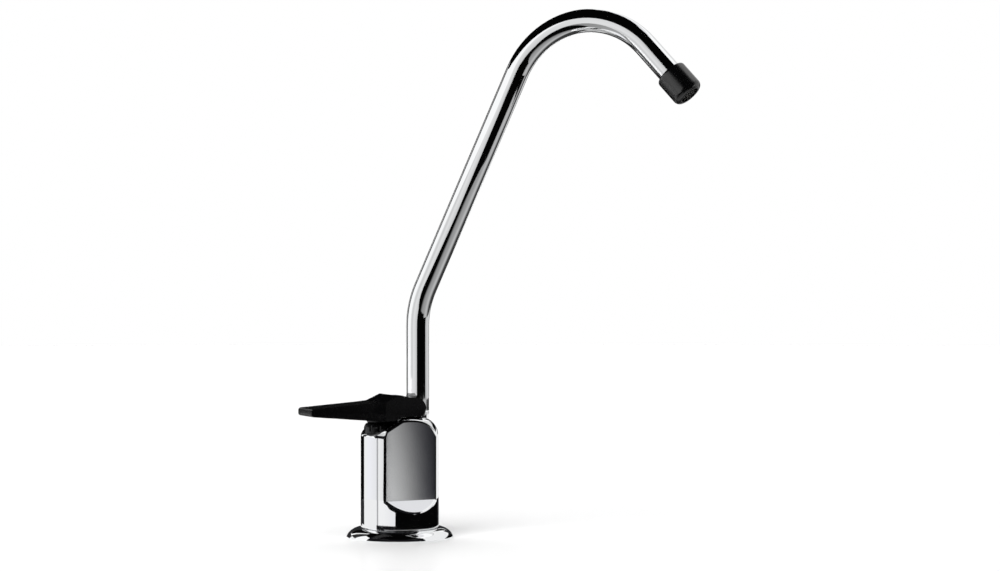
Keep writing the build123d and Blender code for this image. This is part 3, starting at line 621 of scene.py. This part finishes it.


# Stage

# Painted reflections, which the chrome shows: glowing sheets that only polished surfaces see, which
# light nothing and cast no shadow. Black ones paint dark reflections, grey and white ones light
# ones.
# Bearings are in degrees from the front of the stage, positive to the right. A card spans two
# bearings and two edges, each given as its distance from the column's axis and its height, in
# millimetres. Its sRGB shades are spread evenly from the first bearing to the second, and so are an
# edge's heights where it has more than one.
CARDS = (
    # Tall: black on the front right, white on the front left, grey right, dark behind and overhead
    ("front", -4, 88, (300, 38), (300, 130), "#040404"),
    ("front_high", -8, 76, (300, 130), (300, 600), "#040404"),
    ("front_edge", -38, -4, (300, 38), (300, 340), "#E4E4E4 #CACACA"),
    ("front_left", -60, -38, (300, 38), (300, 56), "#E6E6E6 #E0E0E0"),
    ("front_left_high", -76, -38, (300, 56), (300, 200), "#F6F6F6 #DCDCDC #CCCCCC #D8D8D8 #E4E4E4"),
    ("left_line", -138, -116, (300, 46), (300, 340), "#303030"),
    ("left_low", -158, -98, (300, 0), (300, 46), "#040404"),
    ("right", 88, 150, (600, 0), (600, 110), "#BCBCBC #D8D8D8"),
    ("right_high", 76, 126, (600, 110), (600, 700), "#C8C8C8 #E0E0E0"),
    ("right_rear", 126, 165, (600, 110), (600, 250), "#060606"),
    ("right_rear_high", 126, 160, (600, 250), (600, 700), "#E0E0E0"),
    ("rear", 150, 210, (300, 0), (300, 100), "#303030"),
    ("rear_high", 165, 215, (300, 100), (300, 600), "#060606"),
    ("left_high", 210, 352, (300, 340), (300, 600), "#040404"),
    ("top", 150, 440, (1, 600), (300, 600), "#040404"),
    ("top_right", 80, 150, (1, 600), (240, 600), "#040404"),
    ("top_edge", 80, 150, (240, 600), (330, 600), "#E4E4E6"),
    # Low, round the column
    ("low_front", -46, 105, (165, 0), (165, 44), "#040404"),
    ("low_gap", -61, -46, (165, 0), (165, 44), "#F0F0F0 #E6E6E6"),
    ("low_line", -66, -61, (165, 0), (165, 44), "#A8A8AA"),
    ("low_left", -123, -66, (165, 0), (165, 44), "#F4F4F2 #F2F2F6 #EAEAEC"),
    ("low_right", 105, 188, (165, 0), (165, 44), "#F4F4F4"),
    ("low_rear", 188, 237, (165, 0), (165, 44), "#060606"),
    # Lower still, close to the flange, for the foot of the column
    ("near_dark", -8, 130, (45, 1), (45, 13), "#040404"),
    ("near_rear", 130, 235, (45, 1), (45, 13), "#2C2C2E"),
    ("near_edge", 235, 252, (45, 2.2), (45, 13), "#2C2C2E"),
    ("near_edge_low", 235, 252, (45, 1), (45, 2.2), "#F2F2F2"),
    ("near_left", 252, 304, (45, 1), (45, 14.4), "#F2F2F2"),
    ("near_line", 304, 308, (45, 1), (45, 14.4), "#A8A8AA"),
    ("near_gap", 308, 323, (45, 1), (45, 14.4), "#F4F4F4"),
    ("near_front", 323, 352, (45, 1), (45, 14.4, 10.7, 9.3), "#F4F4F4 #EAEAEC"),
    ("near_foot", 303, 352, (44.5, 1), (44.5, 3.3), "#101012"),
    # Two shallow cones, the upper for the slanted run of the spout and the lower for the flange
    ("lid_left", -73, -26, (50, 52.8), (300, 44.8), "#A4A4A4 #8C8C8C"),
    ("lid_dark", -26, 20, (50, 52.8), (300, 44.8), "#040404"),
    ("lid_far", 20, 60, (218, 47.4), (300, 44.8), "#040404"),
    ("lid_grey", 20, 60, (50, 52.8), (218, 47.4), "#404040 #808080 #989898 #989898 #A0A0A0"),
    ("lid_right", 60, 108, (50, 52.8), (300, 44.8), "#A0A0A0 #B0B0B0 #BEBEBE #949494 #484848"),
    ("lid_edge", 108, 150, (50, 52.8), (300, 44.8), "#383838"),
    ("flange_front", -73, 60, (50, 52.2), (300, 44.2), "#161618"),
    ("flange_right", 60, 150, (50, 52.2), (300, 44.2), "#F0F0F0"),
    # Flat on the floor
    ("table", -8, 237, (48, 1), (160, 1), "#ACACAC"),
    ("table_dark", -40, -8, (48, 1), (165, 1), "#040404"),
    ("table_light", 237, 320, (48, 1), (165, 1), "#F2F2F2"),
    ("table_left", 190, 365, (166, 1), (280, 1), "#ACACAC"),
    ("table_line", 190, 365, (280, 1), (330, 1), "#606060"),
    ("table_right", 55, 104, (160, 1), (600, 1), "#9C9C9C"),
    ("table_rear", 104, 190, (160, 1), (600, 1), "#3C3C3C"),
)
CARD_STEP = 3  # degrees that one face of a curved card spans, at most


def bearing(degrees):
    """The level direction at a bearing."""
    back, right = Vector((-VIEW[0], -VIEW[1], 0)), Vector((VIEW[1], -VIEW[0], 0))
    return back * cos(radians(degrees)) + right * sin(radians(degrees))


def spread(stops, share):
    """The value at a share of the way through evenly spaced ones."""
    if len(stops) == 1:
        return stops[0]
    at = share * (len(stops) - 1)
    n = min(int(at), len(stops) - 2)
    return stops[n] + (stops[n + 1] - stops[n]) * (at - n)


def card(name, rows, low, high, reflection_glow):
    """A glowing strip that paints a reflection, through rows of a lower and an upper point, with
    shades for both edges.
    """
    mesh = bpy.data.meshes.new(name)
    last = len(rows) - 1
    faces = [(2 * i, 2 * i + 2, 2 * i + 3, 2 * i + 1) for i in range(last)]
    mesh.from_pydata([point for row in rows for point in row], [], faces)
    tint = mesh.color_attributes.new("tint", "FLOAT_COLOR", "POINT")
    for edge, shades in enumerate((low, high)):
        stops = [Vector(linear(shade)) for shade in shades.split()]
        for i in range(last + 1):
            tint.data[2 * i + edge].color = opaque(spread(stops, i / last))
    sheet = place(name, mesh)
    paint(mesh, reflection_glow)
    # Only polished surfaces see the strip: it lights nothing, casts no shadow and paints what they
    # reflect
    sheet.visible_camera = sheet.visible_diffuse = False
    sheet.visible_shadow = sheet.visible_transmission = False


def curved_cards(reflection_glow):
    for name, start, end, (low_r, *low_z), (high_r, *high_z), shades in CARDS:
        steps = max(2, ceil((end - start) / CARD_STEP))
        rows = []
        for i in range(steps + 1):
            share = i / steps
            way = bearing(start + (end - start) * share)
            edges = ((low_r, spread(low_z, share)), (high_r, spread(high_z, share)))
            rows.append([way * r * MM + Vector((0, 0, z * MM)) for r, z in edges])
        card("card_" + name, rows, shades, shades, reflection_glow)


def painted_flat_reflection(reflection_glow):
    """The painted reflection in the flat on the camera's side, the only card that flat shows:
    painted shades from side to side and a little lighter below. It stands where that flat sends the
    camera's line of sight."""
    way, side = Vector((0.3992, -0.9169, 0)), Vector((0.9169, 0.3992, 0))
    flat_y, distance, half_width, step, foot, top = -12, 150, 13, 2, 1, 48
    middle = Vector((0, flat_y * MM, 0)) + way * distance * MM
    rows = [
        [middle + side * u * MM + Vector((0, 0, z * MM)) for z in (foot, top)]
        for u in range(-half_width, half_width + 1, step)
    ]
    # Painted shades of the flat's reflection, light to dark across it, lighter along the lower edge
    low = "#CCCCCC #BEBEBE #ACACAC #909090 #68686A #404044 #2A2A2E"
    high = "#A0A0A0 #8E8E8E #767676 #565658 #38383C #26262A #202024"
    card("card_shaded", rows, low, high, reflection_glow)


# Operators


class TAP_OT_stage(bpy.types.Operator):
    """White floor and surroundings, lights, camera and the glowing cards that paint the chrome's
    reflections
    """

    bl_idname = "tap.stage"
    bl_label = "Stage"

    def execute(self, context):
        scene = context.scene
        sizes = scene.tap_stage
        scene.view_settings.view_transform = "Standard"
        self.surround(scene, sizes)
        self.camera(scene, sizes)
        bpy.ops.mesh.primitive_circle_add(vertices=96, radius=sizes.floor, fill_type="NGON")
        floor = context.object
        floor.name = "floor"
        floor.data.materials.append(white_floor())
        self.light("main_light", sizes.sun, sizes.sun_way, sizes.softness)
        self.light("back_light", sizes.back, sizes.back_way, sizes.softness)
        reflection_glow = painted_reflection_material()
        curved_cards(reflection_glow)
        painted_flat_reflection(reflection_glow)
        return {"FINISHED"}

    def surround(self, scene, sizes):
        """An even light from all round, which the camera and polished surfaces see as white."""
        world = bpy.data.worlds.new("surround")
        scene.world = world
        world.use_nodes = True
        tree = world.node_tree
        tree.nodes.clear()
        strength = ranged(tree, seen(tree), low=sizes.sky, high=1.0)
        white = {"Color": (1, 1, 1, 1)}
        light = add(tree, "ShaderNodeBackground", white, {"Strength": strength})
        add(tree, "ShaderNodeOutputWorld", links={"Surface": light.outputs["Background"]})

    def camera(self, scene, sizes):
        data = bpy.data.cameras.new("camera")
        data.lens, data.sensor_width, data.clip_end = sizes.lens, 36.0, 20.0
        camera = place("camera", data)
        camera.location = sizes.camera_at
        camera.rotation_euler = Vector(sizes.camera_way).to_track_quat("-Z", "Y").to_euler()
        scene.camera = camera

    def light(self, name, strength, way, softness):
        """A soft lamp, which polished surfaces don't show."""
        lamp = bpy.data.lights.new(name, "SUN")
        lamp.energy, lamp.angle = strength, softness
        sun = place(name, lamp)
        sun.rotation_euler = Vector(way).to_track_quat("-Z", "Y").to_euler()
        sun.visible_glossy = False


class TAP_OT_casting(bpy.types.Operator):
    """Chrome plate for the column and the flange at its foot"""

    bl_idname = "tap.casting"
    bl_label = "Casting and flange"

    def execute(self, context):
        dress("ChromePlate_GroundFlats", "body_casting")
        dress("ChromePlate_Buffed", "flange")
        return {"FINISHED"}


class TAP_OT_spout(bpy.types.Operator):
    """Chrome spout, its outlet cap and what holds it in the socket"""

    bl_idname = "tap.spout"
    bl_label = "Spout"

    def execute(self, context):
        dress("ChromePlate_Buffed", "spout_tube")
        dress("ABS_BlackPolished", "spout_tip")
        dress("ABS_BlackMoulded", "spout_bush")
        dress("Brass_Turned", "spout_ferrule")
        dress("Stainless_Turned", "spout_clip")
        dress("EPDM_Moulded", "spout_seals")
        dress("Acetal_WhiteMoulded", "flow_straightener")
        return {"FINISHED"}


class TAP_OT_valve(bpy.types.Operator):
    """Bonnet, stem, spring and seals of the valve"""

    bl_idname = "tap.valve"
    bl_label = "Valve"

    def execute(self, context):
        dress("ABS_BlackMoulded", "bonnet")
        dress("Stainless_Turned", "valve_stem", "seat_screw", "spring_washer", "return_spring")
        dress("EPDM_Moulded", "bonnet_seal", "stem_seal", "seat_washer")
        return {"FINISHED"}


class TAP_OT_lever(bpy.types.Operator):
    """Press-down lever, with the softly rounded edges of the moulding, and its pin"""

    bl_idname = "tap.lever"
    bl_label = "Lever"

    def execute(self, context):
        s = context.scene.tap_lever
        over = 1 * MM  # how far a tool for cutting reaches above and below the lever
        lever = prism("lever_handle", self.side(s), "Y", -s.hub_y, s.hub_y)
        half = [
            (s.tip_x, s.tip_y),
            (s.neck_x, s.neck_y),
            (s.ramp_x, s.hub_y),
            (s.rear_x, s.hub_y),
        ]
        plan = [(x, -y) for x, y in half] + half[::-1]
        cut(lever, prism("plan", plan, "Z", s.low_z - over, s.peak_z + over), "INTERSECT")
        self.round_corners(lever.data, s)
        corners = 48
        pad = arc(s.pad_x, 0, s.pad_r, 0, 360 - 360 / corners, corners - 1)
        cut(lever, prism("pad", pad, "Z", s.pad_z, s.arm_z), "UNION")
        past = s.rear_x + 5 * MM  # the slot is open at the rear
        slot = arc(s.slot_x, 0, s.slot_r, 90, 270, 24) + [(past, -s.slot_r), (past, s.slot_r)]
        cut(lever, prism("slot", slot, "Z", s.pad_z - over, s.peak_z + over), "DIFFERENCE")
        soften(lever, s.edge_r, segments=3, angle=28)
        stand_in(lever, "ABS_BlackMoulded", "lever", "lever")
        dress("Stainless_Turned", "lever_pin")
        return {"FINISHED"}

    def side(self, s):
        """The lever from the side, as x and z, starting at the tip and along the underside."""
        tip = s.tip_x + s.tip_r
        return [
            *arc(tip, s.tip_low_z + s.tip_r, s.tip_r, 180, 270, 5),
            (s.low_x, s.low_z),
            (s.heel_x, s.low_z),
            (s.arm_x, s.arm_z),
            (s.rear_x, s.arm_z),
            *arc(s.rear_x - s.rear_r, s.hub_z - s.rear_r, s.rear_r, 0, 90, 10),
            (s.hub_x, s.hub_z),
            (s.peak_x, s.peak_z),
            (s.ramp_x, s.ramp_z),
            *arc(tip, s.tip_top_z - s.tip_r, s.tip_r, 90, 180, 5),
        ]

    def round_corners(self, mesh, s):
        """Rounds the upright corners of the lever, at its tip and at the rear of its hub."""
        # An upright edge keeps its x and y, and a corner's lies at that x, give or take a little
        same, near = 0.001 * MM, 0.01 * MM
        bm = bmesh.new()
        bm.from_mesh(mesh)
        for x, radius in ((s.tip_x, s.tip_corner_r), (s.rear_x, s.rear_corner_r)):
            corners = []
            for edge in bm.edges:
                a, b = (vert.co for vert in edge.verts)
                if abs(a.x - b.x) < same and abs(a.y - b.y) < same and abs(a.x - x) < near:
                    corners.append(edge)
            bmesh.ops.bevel(
                bm,
                geom=corners,
                offset=radius,
                offset_type="OFFSET",
                segments=6,
                profile=0.5,
                affect="EDGES",
            )
        bm.to_mesh(mesh)
        bm.free()


class TAP_OT_shank(bpy.types.Operator):
    """Threaded shank below the deck, with a real thread and the supply socket in its foot"""

    bl_idname = "tap.shank"
    bl_label = "Threaded shank"

    def execute(self, context):
        s = context.scene.tap_thread
        bm = bmesh.new()
        count = ceil((s.top_z - s.foot_z) / s.pitch * s.rows)
        rings = []
        for j in range(count + 1):
            z = s.foot_z + (s.top_z - s.foot_z) * j / count
            radii = [self.radius(s, z, i / s.sides) for i in range(s.sides)]
            rings.append(self.ring(bm, radii, z))
        for r, z in (
            (s.bore_r, s.top_z),
            (s.bore_r, s.foot_z + s.inlet_depth),
            (s.inlet_r, s.foot_z + s.inlet_depth),
            (s.inlet_r, s.foot_z + s.inlet_edge),
            (s.inlet_r + s.inlet_edge, s.foot_z),
        ):
            rings.append(self.ring(bm, [r] * s.sides, z))
        for low, high in zip(rings, rings[1:] + rings[:1]):
            band(bm, low, high)
        shank = closed("shank_thread", bm)
        shank.data.shade_smooth()
        shank.data.set_sharp_from_angle(angle=radians(50))
        stand_in(shank, "Brass_Turned", "casting", "threaded_shank")
        return {"FINISHED"}

    def radius(self, s, z, share):
        """The shank's radius at a height and a share of a turn: a vee with flat crest and root,
        which runs out into a bevel at each end."""
        flank, crest = 1.35, 0.15
        across = abs(2 * ((z / s.pitch - share) % 1.0) - 1)
        groove = min(1.0, max(0.0, flank * across - crest))
        turns_to_end = min(z - s.foot_z, s.top_z - z) / s.pitch
        return s.crest_r - s.depth * max(groove, 1 - min(turns_to_end, 1))

    def ring(self, bm, radii, z):
        turns = [2 * pi * i / len(radii) for i in range(len(radii))]
        return [bm.verts.new((r * cos(a), r * sin(a), z)) for r, a in zip(radii, turns)]


class TAP_OT_fixings(bpy.types.Operator):
    """Gasket, washers and nuts that hold the tap in its hole and join the supply tube"""

    bl_idname = "tap.fixings"
    bl_label = "Fixings"

    def execute(self, context):
        dress("EPDM_Moulded", "flange_gasket", "rubber_washer")
        dress("Nylon_BlackMoulded", "locating_washer")
        dress("ZincPlate_Pressed", "lock_washer")
        dress("Brass_Turned", "fixing_nut", "compression_nut", "compression_sleeve")
        return {"FINISHED"}


class TAP_PT_panel(bpy.types.Panel):
    """Builds the tap's pieces one by one"""

    bl_idname = "TAP_PT_panel"
    bl_label = "Filter tap"
    bl_space_type = "VIEW_3D"
    bl_region_type = "UI"
    bl_category = "Filter tap"

    def draw(self, context):
        for operator in OPERATORS:
            self.layout.operator(operator.bl_idname)


GROUPS = {
    "tap_lever": LeverSizes,
    "tap_thread": ThreadSizes,
    "tap_finishes": Finishes,
    "tap_stage": StageSizes,
}
OPERATORS = (
    TAP_OT_stage,
    TAP_OT_casting,
    TAP_OT_spout,
    TAP_OT_valve,
    TAP_OT_lever,
    TAP_OT_shank,
    TAP_OT_fixings,
)


def register():
    for cls in (*GROUPS.values(), *OPERATORS, TAP_PT_panel):
        bpy.utils.register_class(cls)
    for name, group in GROUPS.items():
        setattr(bpy.types.Scene, name, PointerProperty(type=group))


def unregister():
    for name in GROUPS:
        delattr(bpy.types.Scene, name)
    for cls in (TAP_PT_panel, *OPERATORS[::-1], *reversed(GROUPS.values())):
        bpy.utils.unregister_class(cls)


def main():
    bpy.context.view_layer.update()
    register()
    bpy.ops.tap.stage()
    bpy.ops.tap.casting()
    bpy.ops.tap.spout()
    bpy.ops.tap.valve()
    bpy.ops.tap.lever()
    bpy.ops.tap.shank()
    bpy.ops.tap.fixings()


if __name__ == "__main__":
    main()
